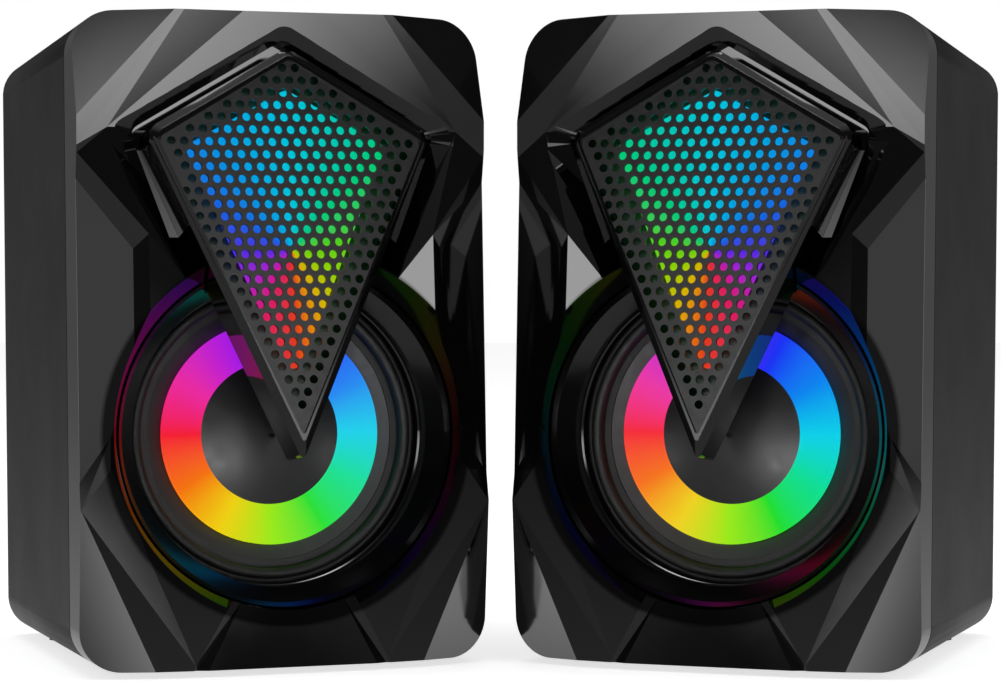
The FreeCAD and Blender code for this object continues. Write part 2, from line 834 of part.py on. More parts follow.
def add_casing(speaker, panel, shell):
    """Front panel, rear shell, feet and case screws."""
    node(shaped(speaker.label("panel_solid"), panel, speaker.front), speaker.label("front_panel"))
    node(shaped(speaker.label("shell_solid"), shell, speaker.front), speaker.label("rear_shell"))
    add_feet(speaker)
    screws = []
    for index, (x, z) in enumerate(case_screw_places()):
        name = speaker.label("case_screw_%d" % index)
        floor = size("well_floor")
        shank_radius = size("case_pilot_radius") - size("screw_slack")
        head_end = floor + size("case_screw_head_height")
        head = rod(name + "_head", speaker.front, size("case_screw_head"), x, z, floor, head_end)
        shank = rod(name + "_shank", speaker.front, shank_radius, x, z,
                    size("case_screw_reach"), floor)
        screws.append(fuse(name, [head, shank]))
    node(group(speaker.label("case_screw_group"), screws), speaker.label("case_screws"))


def add_feet(speaker):
    """Four rubber pads let into the flat underside."""
    pads = []
    inset = size("foot_inset")
    front = size("foot_front")
    back = size("cabinet_depth") - inset
    places = [(side * (size("front_width") / 2 - inset), y)
              for side in (-1, 1) for y in (front, back)]
    for index, (x, y) in enumerate(places):
        pad = doc.addObject("Part::Cylinder", speaker.label("foot_%d" % index))
        bind(pad, "Radius", size("foot_radius"))
        bind(pad, "Height", size("foot_height"))
        pad.Placement = speaker.stand * shift(x, y, -size("foot_height"))
        pads.append(pad)
    node(group(speaker.label("foot_group"), pads), speaker.label("feet"))


# ---------------------------------------------------------------- driver

def add_driver_frame(speaker):
    """Fixed parts of the driver: trim ring, basket, gasket and magnet."""
    frame = speaker.driver
    back = size("flange_front")
    groove = size("trim_groove_radius")
    groove_front = size("trim_groove_front")
    groove_back = size("trim_groove_back")
    flank = size("trim_groove_flank")
    clamp = size("surround_seat") - size("surround_sheet")
    trim = turned(speaker.label("trim_solid"), frame, [
        (size("trim_skirt_radius"), clamp),
        (size("trim_land_radius"), groove_back),
        (groove, groove_back - flank),
        (groove, groove_front + flank),
        (size("trim_land_radius"), groove_front),
        (size("trim_throat_radius"), size("trim_throat")),
        (size("trim_mouth_radius"), size("trim_mouth")),
        (size("trim_crest_radius"), size("trim_crest")),
        (size("trim_radius"), size("trim_corner")),
        (size("trim_radius"), back),
        (groove, back),
        (groove, clamp),
    ])
    places = driver_screw_places()
    pocket_front = back - size("driver_screw_head_height") - 0.3
    cutters = [
        rod(speaker.label("trim_pocket_%d" % index), frame, size("driver_screw_head") + 0.15,
            x, z, pocket_front, back + 0.1)
        for index, (x, z) in enumerate(places)
    ]
    gap = size("bezel_gap")
    notch = kite_solid("bezel", bezel_rounds(gap), -20.0, size("bezel_depth") + gap, gap)
    cutters.append(shaped(speaker.label("trim_notch"), notch, speaker.kite))
    node(cut(speaker.label("trim_cut"), trim, cutters), speaker.label("trim_ring"))
    add_basket(speaker, places)
    add_driver_screws(speaker, places)
    add_magnet(speaker)


def add_basket(speaker, places):
    """Pressed steel frame of the driver, with its windows, and its gasket."""
    frame = speaker.driver
    sheet_metal = size("basket_sheet")
    flange = size("flange_front")
    seat = size("surround_seat")
    base = size("basket_base")
    base_radius = size("basket_base_radius")
    wall_top = size("surround_outer_radius") + 0.3
    body = turned(speaker.label("basket_solid"), frame, [
        (size("flange_inner_radius"), flange),
        (size("trim_radius"), flange),
        (size("trim_radius"), flange + sheet_metal),
        (size("flange_inner_radius") + sheet_metal, flange + sheet_metal),
        (size("flange_inner_radius") + sheet_metal, seat + sheet_metal),
        (wall_top + sheet_metal, seat + sheet_metal),
        (wall_top - 2.0 + sheet_metal, 21.0),
        (base_radius + 3.0 + sheet_metal, 21.0 + sheet_metal),
        (base_radius + sheet_metal, base),
        (size("basket_base_hole"), base),
        (size("basket_base_hole"), base - sheet_metal),
        (base_radius, base - sheet_metal),
        (base_radius + 3.0, 21.0),
        (wall_top - 2.0, 21.0 - sheet_metal),
        (wall_top, seat),
        (size("flange_inner_radius"), seat),
    ])
    cutters = []
    width = size("window_width")
    length = size("window_back") - size("window_front")
    reach = size("trim_radius") * 2
    start = size("window_front")
    cutters.append(box(speaker.label("window_across"), frame, (reach, length, width),
                       (-reach / 2, start, -width / 2)))
    cutters.append(box(speaker.label("window_up"), frame, (width, length, reach),
                       (-width / 2, start, -reach / 2)))
    hole = size("driver_screw_radius") + size("screw_slack")
    for index, (x, z) in enumerate(places):
        cutters.append(rod(speaker.label("flange_hole_%d" % index), frame, hole, x, z,
                           flange - 1, flange + 3))
    node(cut(speaker.label("basket_cut"), body, cutters), speaker.label("driver_basket"))
    gasket_front = flange + sheet_metal
    gasket = ring(speaker.label("gasket_solid"), frame, size("seat_inner_radius"),
                  size("trim_radius"), gasket_front, gasket_front + size("gasket_thickness"))
    holes = [
        rod(speaker.label("gasket_hole_%d" % index), frame, hole, x, z, flange, flange + 4)
        for index, (x, z) in enumerate(places)
    ]
    node(cut(speaker.label("gasket_cut"), gasket, holes), speaker.label("driver_gasket"))


def add_driver_screws(speaker, places):
    """Four screws through the basket's flange, hidden by the trim ring."""
    frame = speaker.driver
    flange = size("flange_front")
    screws = []
    for index, (x, z) in enumerate(places):
        name = speaker.label("driver_screw_%d" % index)
        head = rod(name + "_head", frame, size("driver_screw_head"), x, z,
                   flange - size("driver_screw_head_height"), flange)
        shank = rod(name + "_shank", frame, size("driver_screw_radius"), x, z,
                    flange, flange + size("driver_screw_length"))
        screws.append(fuse(name, [head, shank]))
    node(group(speaker.label("driver_screw_group"), screws), speaker.label("driver_screws"))


def add_magnet(speaker):
    """Top plate, ring magnet and yoke with its pole."""
    frame = speaker.driver
    plate_front = size("basket_base")
    magnet_front = plate_front + size("top_plate_thickness")
    yoke_front = magnet_front + size("magnet_length")
    yoke_back = yoke_front + size("yoke_thickness")
    top_plate = ring(speaker.label("top_plate_solid"), frame, size("gap_radius"),
                     size("top_plate_radius"), plate_front, magnet_front)
    node(top_plate, speaker.label("top_plate"))
    magnet = ring(speaker.label("magnet_solid"), frame, size("magnet_hole"),
                  size("magnet_radius"), magnet_front, yoke_front)
    node(magnet, speaker.label("magnet"))
    yoke = turned(speaker.label("yoke_solid"), frame, [
        (0, plate_front - 1),
        (size("pole_radius"), plate_front - 1),
        (size("pole_radius"), yoke_front),
        (size("yoke_radius"), yoke_front),
        (size("yoke_radius"), yoke_back),
        (0, yoke_back),
    ])
    node(yoke, speaker.label("yoke"))


def add_moving_parts(speaker):
    """Surround, cone, light ring, dust cap, voice coil and spider."""
    frame = speaker.driver
    add_surround(speaker)
    edge = size("cone_edge")
    foot = size("cone_foot")
    foot_radius = size("cone_foot_radius")
    sheet_paper = size("cone_sheet")
    edge_radius = size("surround_inner_radius") + 0.2
    cone = turned(speaker.label("cone_solid"), frame, [
        (edge_radius, edge),
        (edge_radius, edge + sheet_paper),
        (foot_radius, foot + sheet_paper),
        (foot_radius, foot),
        (edge_radius - 1.6, edge),
    ])
    node(cone, speaker.label("cone"))
    neck_radius = size("former_outer")
    neck = size("light_ring_neck")
    lens = size("light_ring_sheet")
    face = size("light_ring_face")
    cap_radius = size("dust_cap_radius")
    cap_seat = size("dust_cap_seat")
    wall = size("light_ring_wall")
    light_ring = turned(speaker.label("light_ring_solid"), frame, [
        (foot_radius, face),
        (foot_radius, foot + sheet_paper),
        (foot_radius - wall, foot + sheet_paper),
        (foot_radius - wall, face + lens + wall / 2),
        (cap_radius + wall, cap_seat + lens),
        (neck_radius, neck + lens),
        (neck_radius, neck),
        (cap_radius, cap_seat),
    ])
    node(light_ring, speaker.label("light_ring"))
    add_dust_cap(speaker)
    add_voice_coil(speaker)
    add_spider(speaker)


def add_surround(speaker):
    """Rubber roll that bulges forward between the basket and the cone."""
    outer = size("surround_outer_radius")
    inner = size("surround_inner_radius")
    rubber = size("surround_sheet")
    seat = size("surround_seat")
    middle = (outer + inner) / 2
    low_lip = size("cone_edge")
    lip_end = size("flange_inner_radius") - 0.1
    roll = turned(speaker.label("surround_solid"), speaker.driver, [
        (lip_end, seat),
        (lip_end, seat - rubber),
        (outer, seat - rubber),
        Arc(inner, seat - rubber, (middle, seat - rubber + 0.2), True),
        (inner - 0.1, low_lip - rubber),
        (inner - 1.6, low_lip - rubber),
        (inner - 1.6, low_lip),
        (inner + 0.3, low_lip),
        (inner + rubber, seat),
        Arc(outer - rubber, seat, (middle, seat + 0.2), False),
    ])
    node(roll, speaker.label("surround"))


def add_dust_cap(speaker):
    """Shallow dome over the middle of the cone."""
    radius = size("dust_cap_radius")
    rise = size("dust_cap_rise")
    paper = size("cone_sheet")
    rim = size("dust_cap_seat")
    ball = (radius * radius + rise * rise) / (2 * rise)
    centre = rim - rise + ball
    inner_radius = radius - size("dust_cap_lip")
    inner_rim = centre - math.sqrt((ball - paper) ** 2 - inner_radius ** 2)
    cap = turned(speaker.label("dust_cap_solid"), speaker.driver, [
        Arc(0, rim - rise + paper, (0, centre), True),
        (0, rim - rise),
        Arc(radius, rim, (0, centre), False),
        (inner_radius, inner_rim),
    ])
    node(cap, speaker.label("dust_cap"))


def add_voice_coil(speaker):
    """Paper former with the copper winding round its back end."""
    frame = speaker.driver
    outer = size("former_outer")
    front = size("light_ring_neck") - 0.2
    winding_radius = outer + size("winding_thickness")
    coil = turned(speaker.label("voice_coil_solid"), frame, [
        (outer - size("former_wall"), front),
        (outer, front),
        (outer, size("winding_front")),
        (winding_radius, size("winding_front")),
        (winding_radius, size("winding_end")),
        (outer, size("winding_end")),
        (outer, size("former_end")),
        (outer - size("former_wall"), size("former_end")),
    ])
    node(coil, speaker.label("voice_coil"))


def add_spider(speaker):
    """Corrugated cloth ring that centres the voice coil."""
    inner = size("former_outer") + 0.1
    outer = size("spider_outer")
    front = size("spider_front")
    cloth = size("spider_sheet")
    wave = size("spider_wave")
    pitch = size("spider_pitch")
    crests = [inner + 1.6 + pitch * step / 2 for step in range(6)]
    front_line = [(inner, front)]
    front_line += [(x, front + (wave if step % 2 else 0)) for step, x in enumerate(crests)]
    front_line += [(outer, front + wave)]
    back_line = [(x, y + cloth) for x, y in reversed(front_line)]
    spider = turned(speaker.label("spider_solid"), speaker.driver, front_line + back_line)
    node(spider, speaker.label("spider"))


def add_ring_light_board(speaker):
    """Ring-shaped light board behind the cone, with its lamps."""
    frame = speaker.driver
    front = size("ring_board_front")
    board = ring(speaker.label("ring_board"), frame, size("ring_board_inner"),
                 size("ring_board_outer"), front, front + size("board_thickness"))
    pieces = [board]
    lamp = size("led_size")
    count = 12
    for index in range(count):
        angle = 360.0 * index / count
        spoke = frame * turn(Y_AXIS, angle)
        pieces.append(box(speaker.label("ring_led_%d" % index), spoke,
                          (lamp, size("led_height"), lamp),
                          (size("ring_led_circle") - lamp / 2, front - size("led_height"),
                           -lamp / 2)))
    node(group(speaker.label("ring_board_group"), pieces), speaker.label("ring_light_board"))


# ------------------------------------------------------ kite light cover

def add_kite(speaker, shapes):
    """Bezel, punched grille, diffuser, light board and back cover."""
    for name, shape in shapes.items():
        node(shaped(speaker.label(name + "_solid"), shape, speaker.kite), speaker.label(name))


def kite_shapes():
    """All the kite's pieces in the kite's own frame."""
    return {
        "kite_bezel": bezel_shape(),
        "kite_grille": grille_shape(),
        "kite_diffuser": diffuser_shape(),
        "kite_light_board": light_board_shape(),
        "kite_back_cover": back_cover_shape(),
    }


def inner_rounds():
    """Corner radii of the kite's opening: apex, shoulders and tip."""
    return [2.0, 1.6, 0.45]


def bezel_shape():
    """Deep chamfered frame with a fixing flange round its upper half."""
    chamfer = size("bezel_chamfer")
    outline = [size("bezel" + end) for end in ("_apex", "_shoulder_x", "_shoulder", "_tip")]
    front_rounds = [radius * 0.6 for radius in bezel_rounds()]
    front_wire = kite_wire(*outline, front_rounds, 0.0, -chamfer)
    side_wire = kite_wire(*outline, bezel_rounds(), chamfer)
    nose_piece = Part.makeLoft([front_wire, side_wire], True, True)
    frame = kite_solid("bezel", bezel_rounds(), chamfer, size("bezel_depth")).fuse(nose_piece)
    low = size("kite_centre_height") + size("bezel_flange_low")
    flange_front = size("bezel_flange_front")
    flange_back = flange_front + size("bezel_flange_thickness")
    flange_top = size("pocket_apex") + size("hood_wall")
    start = FreeCAD.Vector(-100, flange_front, low)
    slab = Part.makeBox(200, flange_back - flange_front, flange_top - low, start)
    start = FreeCAD.Vector(-100, -100, low)
    upper_room = Part.makeBox(200, 100 + flange_back, 100, start)
    for front_frame_shape in (slab, upper_room):
        front_frame_shape.Placement = kite_place().inverse() * front_frame_shape.Placement
    width = size("bezel_flange_width")
    wide = kite_solid("bezel", bezel_rounds(width), -20.0, 40.0, width)
    collar = kite_solid("bezel", bezel_rounds(), chamfer + 1, 40.0)
    solid = frame.fuse([wide.common(slab), collar.common(upper_room)])
    opening = kite_solid("grille", inner_rounds(), -5.0, 40.0)
    rebate = kite_solid("grille", inner_rounds(), size("grille_setback"), 40.0, size("rebate"))
    return solid.cut(opening).cut(rebate).removeSplitter()


def grille_shape():
    """Steel sheet with round holes in staggered rows."""
    outline = [size("grille" + end) for end in ("_apex", "_shoulder_x", "_shoulder", "_tip")]
    apex, shoulder_x, _, tip = outline
    front = size("grille_setback")
    radius = size("hole_radius")
    sheet_grow = size("rebate") - size("rebate_play")
    wires = [kite_wire(*outline, inner_rounds(), front, sheet_grow)]
    clear = sheet_grow - radius - size("hole_margin")
    room = Part.Face(kite_wire(*outline, inner_rounds(), front, clear))
    pitch_x = size("hole_pitch_x")
    pitch_z = size("hole_pitch_z")
    columns = int(shoulder_x / pitch_x) + 1
    for row in range(int(tip / pitch_z) - 1, int(apex / pitch_z) + 1):
        stagger = 0.5 * (row % 2)
        for column in range(-columns, columns + 1):
            place = FreeCAD.Vector((column + stagger) * pitch_x, front, row * pitch_z)
            if room.isInside(place, 0.01, True):
                wires.append(Part.Wire(Part.makeCircle(radius, place, Y_AXIS)))
    face = Part.makeFace(wires, "Part::FaceMakerBullseye")
    return face.extrude(FreeCAD.Vector(0, size("grille_sheet"), 0)).Solids[0]


def diffuser_shape():
    """Translucent lens with a hollow back over the lamps."""
    front = size("lamp_front")
    board = size("kite_board_front")
    lens = kite_solid("lamp", [2.0, 2.0, 2.0], front, board)
    hollow = kite_solid("lamp", [1.0, 1.0, 1.0], front + size("lamp_sheet"), board + 1,
                        -size("lamp_rim"))
    return lens.cut(hollow)


def light_board_shape():
    """Circuit board across the bezel, with lamps under the diffuser."""
    front = size("kite_board_front")
    back = front + size("board_thickness")
    board = kite_solid("grille", inner_rounds(), front, back, size("rebate") - size("rebate_play"))
    lamp = size("led_size")
    lamps = []
    spots = [(0, 34), (-11, 29), (11, 29), (0, 21), (-8, 14), (8, 14), (0, 6), (0, -8)]
    for x, z in spots:
        corner = FreeCAD.Vector(x - lamp / 2, front - size("led_height"), z - lamp / 2)
        lamps.append(Part.makeBox(lamp, size("led_height"), lamp, corner))
    return Part.makeCompound([board] + lamps)


def back_cover_shape():
    """Plate that closes the back of the bezel."""
    back = size("bezel_depth")
    front = back - size("cover_thickness")
    return kite_solid("grille", inner_rounds(), front, back, size("rebate") - size("rebate_play"))


# ------------------------------------------------- rear fittings and amp

def add_gland(speaker, name, x):
    """Rubber sleeve where a lead enters the rear shell."""
    depth = size("cabinet_depth")
    z = size("gland_height")
    wall_inside = depth - size("shell_wall")
    sleeve = rod(speaker.label(name + "_sleeve"), speaker.front, size("gland_radius"), x, z,
                 wall_inside - 1, depth + size("gland_length") - 3)
    flange = rod(speaker.label(name + "_flange"), speaker.front, size("gland_flange"), x, z,
                 depth, depth + size("gland_flange_thickness"))
    body = fuse(speaker.label(name + "_body"), [sleeve, flange])
    bore = rod(speaker.label(name + "_bore"), speaker.front, size("lead_bore"), x, z,
               wall_inside - 2, depth + size("gland_length"))
    node(cut(speaker.label(name + "_cut"), body, [bore]), speaker.label(name))


def add_volume_control(speaker):
    """Potentiometer inside the shell and the ribbed knob on its shaft."""
    depth = size("cabinet_depth")
    inside = depth - size("shell_wall")
    x = size("knob_x")
    z = size("knob_height")
    frame = speaker.front
    width = size("pot_width")
    case = box("pot_case", frame, (width, size("pot_depth"), width),
               (x - width / 2, inside - size("pot_depth"), z - width / 2))
    bush = rod("pot_bush", frame, size("bush_radius"), x, z, inside, depth)
    knob_front = depth + size("knob_gap")
    shaft_end = depth + size("shaft_length")
    shaft = rod("pot_shaft", frame, size("shaft_radius"), x, z, depth, shaft_end)
    node(fuse("pot_solid", [case, bush, shaft]), "right_volume_pot")
    knob_body = rod("knob_body", frame, size("knob_radius"), x, z, knob_front,
                    knob_front + size("knob_length"))
    ribs = []
    count = int(size("knob_ribs"))
    for index in range(count):
        angle = math.radians(360.0 * index / count)
        reach = size("knob_radius") - 0.1
        ribs.append(rod("knob_rib_%d" % index, frame, size("rib_radius"),
                        x + reach * math.cos(angle), z + reach * math.sin(angle),
                        knob_front, knob_front + size("knob_length") - 0.6))
    socket = rod("knob_socket", frame, size("shaft_radius") + 0.05, x, z, knob_front - 1,
                 shaft_end + 0.2)
    pointer = box("knob_pointer", frame, (1.2, 1.0, size("knob_radius") - 1.0),
                  (x - 0.6, knob_front + size("knob_length") - 0.6, z + 2.0))
    node(cut("knob_cut", fuse("knob_ribbed", [knob_body] + ribs), [socket, pointer]),
         "right_volume_knob")


def add_light_button(speaker):
    """Push button for the lights, with a flange that keeps it in the shell."""
    depth = size("cabinet_depth")
    inside = depth - size("shell_wall")
    x = size("button_x")
    z = size("button_height")
    stem = rod("button_stem", speaker.front, size("button_radius"), x, z,
               inside - size("button_inside"), depth + size("button_out"))
    flange = rod("button_flange_disc", speaker.front, size("button_flange"), x, z,
                 inside - size("button_inside"), inside - 0.2)
    node(fuse("button_solid", [stem, flange]), "right_light_button")


def add_amp_board(speaker):
    """Amplifier board on stand-offs behind the driver."""
    depth = size("cabinet_depth")
    width = size("amp_width")
    back = depth - size("shell_wall") - size("amp_standoff") - size("board_thickness")
    low = size("amp_low")
    board = box("amp_plate", speaker.front, (width, size("board_thickness"), size("amp_height")),
                (-width / 2 - 8, back, low))
    pieces = [board]
    for index, (x, z, radius, height) in enumerate([
            (-26, 8, 4.0, 9.0), (-16, 8, 4.0, 9.0), (-26, 22, 2.5, 6.0), (-4, 40, 4.0, 8.0)]):
        pieces.append(rod("amp_capacitor_%d" % index, speaker.front, radius, x, low + z,
                          back - height, back))
    chip = box("amp_chip", speaker.front, (10, 2.2, 10), (-10, back - 2.2, low + 20))
    pieces.append(chip)
    for index, (x, z) in enumerate([(-30, 3), (13, 3), (-30, 52), (13, 52)]):
        pieces.append(rod("amp_standoff_%d" % index, speaker.front, 2.5, x, low + z,
                          back + size("board_thickness"), depth - size("shell_wall")))
    node(fuse("amp_solid", pieces), "right_amp_board")


# ------------------------------------------------------------- assembly

left = Speaker("left", -1)
right = Speaker("right", 1)

gland_hole = size("gland_radius")
link_hole = (0.0, size("gland_height"), gland_hole)
input_hole = (size("input_gland_x"), size("gland_height"), gland_hole)
control_holes = [
    (size("knob_x"), size("knob_height"), size("bush_radius") + 0.05),
    (size("button_x"), size("button_height"), size("button_radius") + size("button_clearance")),
]
panel = front_panel_shape()
plain_shell = cabinet_shell_shape([link_hole], [])
control_shell = cabinet_shell_shape([link_hole, input_hole], control_holes)
kite = kite_shapes()

for speaker, shell in ((left, plain_shell), (right, control_shell)):
    add_casing(speaker, panel, shell)
    add_driver_frame(speaker)
    add_moving_parts(speaker)
    add_ring_light_board(speaker)
    add_kite(speaker, kite)
    add_gland(speaker, "link_gland", 0.0)
add_gland(right, "input_gland", size("input_gland_x"))
add_volume_control(right)
add_light_button(right)
add_amp_board(right)

doc.recompute()

# ---------------------------------------------------------- check and write

for item in doc.Objects:
    if "Invalid" in item.State or "Error" in item.State:
        raise RuntimeError("failed feature: " + item.Name)
for item in nodes:
    if item.Shape.isNull() or not item.Shape.isValid():
        raise RuntimeError("bad shape: " + item.Label)

os.makedirs("parts", exist_ok=True)
pair_box = FreeCAD.BoundBox()
for item in nodes:
    item.Shape.exportStep(os.path.join("parts", item.Label + ".step"))
    pair_box.add(item.Shape.BoundBox)
    print("%-26s %2d solids %9.1f mm3" % (item.Label, len(item.Shape.Solids), item.Shape.Volume))
print("box", pair_box)
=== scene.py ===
import json
import math

import bmesh
import bpy
from mathutils import Matrix, Vector

# A pair of faceted gloss-black desktop speakers, toed in towards the listener.
# Each speaker has a front frame: x across, y to the back and z up its leaning
# front. Its driver frame has the same axes, with its origin on the driver's
# axis at the face of the trim ring. All lengths are metres, and MM is one
# millimetre.

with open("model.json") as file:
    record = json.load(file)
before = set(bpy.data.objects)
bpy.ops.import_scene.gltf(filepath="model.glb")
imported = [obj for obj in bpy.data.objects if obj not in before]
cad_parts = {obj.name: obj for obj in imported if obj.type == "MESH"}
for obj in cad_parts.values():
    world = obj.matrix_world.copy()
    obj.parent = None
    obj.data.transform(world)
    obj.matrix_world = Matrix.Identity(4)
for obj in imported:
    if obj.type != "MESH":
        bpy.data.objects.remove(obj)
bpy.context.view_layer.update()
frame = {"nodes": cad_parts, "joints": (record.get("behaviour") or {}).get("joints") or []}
MM = 0.001

scene = bpy.context.scene
nodes = frame["nodes"]


# ------------------------------------------------------------------ frames

def joint_named(name):
    """The record's joint of that name."""
    return [joint for joint in frame["joints"] if joint["name"] == name][0]


def axes(across, back, up):
    """Rotation whose columns are the three given directions."""
    return Matrix((across, back, up)).transposed().to_4x4()


def local_span(node, rotation):
    """Lowest and highest corner of a CAD node in a turned frame."""
    inverse = rotation.inverted()
    places = [inverse @ vertex.co for vertex in nodes[node].data.vertices]
    low = Vector([min(place[i] for place in places) for i in range(3)])
    high = Vector([max(place[i] for place in places) for i in range(3)])
    return low, high


def flat_normal(node, towards):
    """Normal of the largest flat side of a node that faces a direction."""
    total = Vector((0, 0, 0))
    for polygon in nodes[node].data.polygons:
        if polygon.normal.dot(towards) > 0.95:
            total += polygon.normal * polygon.area
    return total.normalized()


class Speaker:
    """Frames of one speaker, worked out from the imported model."""

    def __init__(self, side):
        self.side = side
        out = Vector(joint_named(side + "_cone_travel")["axis"]).normalized()
        across = Vector((0, 0, 1)).cross(out).normalized()
        up = across.cross(-out)
        self.rotation = axes(across, -out, up)
        low, high = local_span(side + "_trim_ring", self.rotation)
        face = Vector(((low.x + high.x) / 2, low.y, (low.z + high.z) / 2))
        self.driver = Matrix.Translation(self.rotation @ face) @ self.rotation
        kite_out = flat_normal(side + "_kite_grille", out)
        kite_up = across.cross(-kite_out)
        self.kite_rotation = axes(across, -kite_out, kite_up)
        low, high = local_span(side + "_kite_grille", self.kite_rotation)
        centre = Vector(((low.x + high.x) / 2, low.y, (low.z + high.z) / 2))
        self.kite = Matrix.Translation(self.kite_rotation @ centre) @ self.kite_rotation

    def node(self, name):
        return nodes[self.side + "_" + name]

    def name(self, piece):
        return self.side + "_" + piece


speakers = [Speaker("left"), Speaker("right")]


# ---------------------------------------------------------------- materials

class Nodes:
    """Short calls for building one material's node tree."""

    def __init__(self, name):
        self.material = bpy.data.materials.new(name)
        self.material.use_nodes = True
        self.tree = self.material.node_tree
        self.shader = self.tree.nodes["Principled BSDF"]
        self.place = self.add("ShaderNodeTexCoord").outputs["Object"]

    def add(self, kind, **settings):
        item = self.tree.nodes.new(kind)
        for key, value in settings.items():
            setattr(item, key, value)
        return item

    def link(self, source, target):
        self.tree.links.new(source, target)

    def local(self, origin):
        """Place measured in the frame of a matrix."""
        item = self.add("ShaderNodeMapping", vector_type="TEXTURE")
        item.inputs["Location"].default_value = origin.to_translation()
        item.inputs["Rotation"].default_value = origin.to_euler()
        self.link(self.place, item.inputs["Vector"])
        return item.outputs["Vector"]

    def noise(self, size, detail=4.0, roughness=0.55, stretch=None):
        """Noise whose blobs are about size metres across."""
        item = self.add("ShaderNodeTexNoise")
        item.inputs["Scale"].default_value = 1.0 / size
        item.inputs["Detail"].default_value = detail
        item.inputs["Roughness"].default_value = roughness
        place = self.place
        if stretch:
            mapping = self.add("ShaderNodeMapping")
            mapping.inputs["Scale"].default_value = stretch
            self.link(place, mapping.inputs["Vector"])
            place = mapping.outputs["Vector"]
        self.link(place, item.inputs["Vector"])
        return item.outputs["Fac"]

    def spread(self, source, low, high, start=0.3, end=0.7):
        """Source remapped so that start..end gives low..high."""
        item = self.add("ShaderNodeMapRange")
        item.inputs["From Min"].default_value = start
        item.inputs["From Max"].default_value = end
        item.inputs["To Min"].default_value = low
        item.inputs["To Max"].default_value = high
        self.link(source, item.inputs["Value"])
        return item.outputs["Result"]

    def ramp(self, source, stops):
        """Colour ramp with (position, colour) stops."""
        item = self.add("ShaderNodeValToRGB")
        elements = item.color_ramp.elements
        elements[0].position = stops[0][0]
        elements[0].color = (*stops[0][1], 1.0)
        elements[1].position = stops[-1][0]
        elements[1].color = (*stops[-1][1], 1.0)
        for position, colour in stops[1:-1]:
            elements.new(position).color = (*colour, 1.0)
        self.link(source, item.inputs["Fac"])
        return item.outputs["Color"]

    def bump(self, source, strength, distance):
        item = self.add("ShaderNodeBump")
        item.inputs["Strength"].default_value = strength
        item.inputs["Distance"].default_value = distance
        self.link(source, item.inputs["Height"])
        self.link(item.outputs["Normal"], self.shader.inputs["Normal"])

    def set(self, **values):
        for key, value in values.items():
            self.shader.inputs[key.replace("_", " ")].default_value = value

    def feed(self, name, source):
        self.link(source, self.shader.inputs[name])


def surface(name, dark, light, blob, rough, grain, bump, metallic=0.0, stretch=None,
            sheen=0.0, specular=0.5):
    """Moulded, painted or plated surface: mottled colour, uneven gloss, grain."""
    n = Nodes(name)
    patches = n.noise(blob, 3.0)
    n.feed("Base Color", n.ramp(patches, [(0.3, dark), (0.7, light)]))
    n.feed("Roughness", n.spread(n.noise(blob * 0.4, 5.0), rough[0], rough[1]))
    n.bump(n.noise(grain, 2.0, stretch=stretch), bump[0], bump[1])
    n.set(Metallic=metallic, Sheen_Weight=sheen, Specular_IOR_Level=specular)
    return n.material


def make_materials():
    """Every plain material, by the name the parts ask for."""
    return {
        "gloss": surface("gloss_black", (0.0022, 0.0022, 0.0024), (0.0032, 0.0032, 0.0035),
                         0.03, (0.045, 0.07), 0.0009, (0.02, 0.00002)),
        "trim": surface("trim_black", (0.0022, 0.0022, 0.0024), (0.0035, 0.0035, 0.0038),
                        0.02, (0.10, 0.14), 0.0007, (0.02, 0.00002)),
        "case": surface("case_black", (0.0035, 0.0035, 0.0038), (0.0048, 0.0048, 0.0052),
                        0.05, (0.34, 0.40), 0.0006, (0.06, 0.00003), specular=0.2),
        "rubber": surface("rubber_black", (0.004, 0.004, 0.004), (0.008, 0.008, 0.008),
                          0.008, (0.5, 0.65), 0.0005, (0.2, 0.00005)),
        "grille": surface("grille_paint", (0.003, 0.003, 0.0034), (0.006, 0.006, 0.0066),
                          0.006, (0.20, 0.28), 0.0004, (0.08, 0.00002), specular=0.35),
        "cone": surface("cone_black", (0.012, 0.012, 0.014), (0.018, 0.018, 0.020),
                        0.006, (0.35, 0.5), 0.0005, (0.2, 0.00004)),
        "cap": surface("cap_grey", (0.005, 0.005, 0.006), (0.008, 0.008, 0.009),
                       0.01, (0.3, 0.4), 0.0005, (0.08, 0.00003)),
        "screw": surface("screw_black", (0.02, 0.02, 0.021), (0.05, 0.05, 0.052),
                         0.002, (0.3, 0.5), 0.0003, (0.2, 0.00003), metallic=0.9),
        "zinc": surface("zinc_plate", (0.45, 0.45, 0.44), (0.62, 0.61, 0.58),
                        0.006, (0.28, 0.4), 0.0004, (0.1, 0.00002), metallic=1.0),
        "ferrite": surface("ferrite_grey", (0.03, 0.03, 0.032), (0.06, 0.06, 0.063),
                           0.004, (0.6, 0.8), 0.0004, (0.4, 0.00005)),
        "board": surface("board_green", (0.004, 0.05, 0.022), (0.008, 0.08, 0.035),
                         0.003, (0.3, 0.45), 0.0006, (0.2, 0.00003)),
        "copper": surface("copper_wire", (0.55, 0.22, 0.08), (0.75, 0.34, 0.14),
                          0.002, (0.25, 0.4), 0.0003, (0.4, 0.00005), metallic=1.0,
                          stretch=(1, 1, 6)),
        "cloth": surface("spider_cloth", (0.22, 0.12, 0.04), (0.34, 0.2, 0.08),
                         0.003, (0.7, 0.9), 0.0006, (0.6, 0.0001), sheen=0.3),
        "knob": surface("knob_black", (0.010, 0.010, 0.011), (0.018, 0.018, 0.020),
                        0.006, (0.35, 0.5), 0.0005, (0.2, 0.00005)),
    }


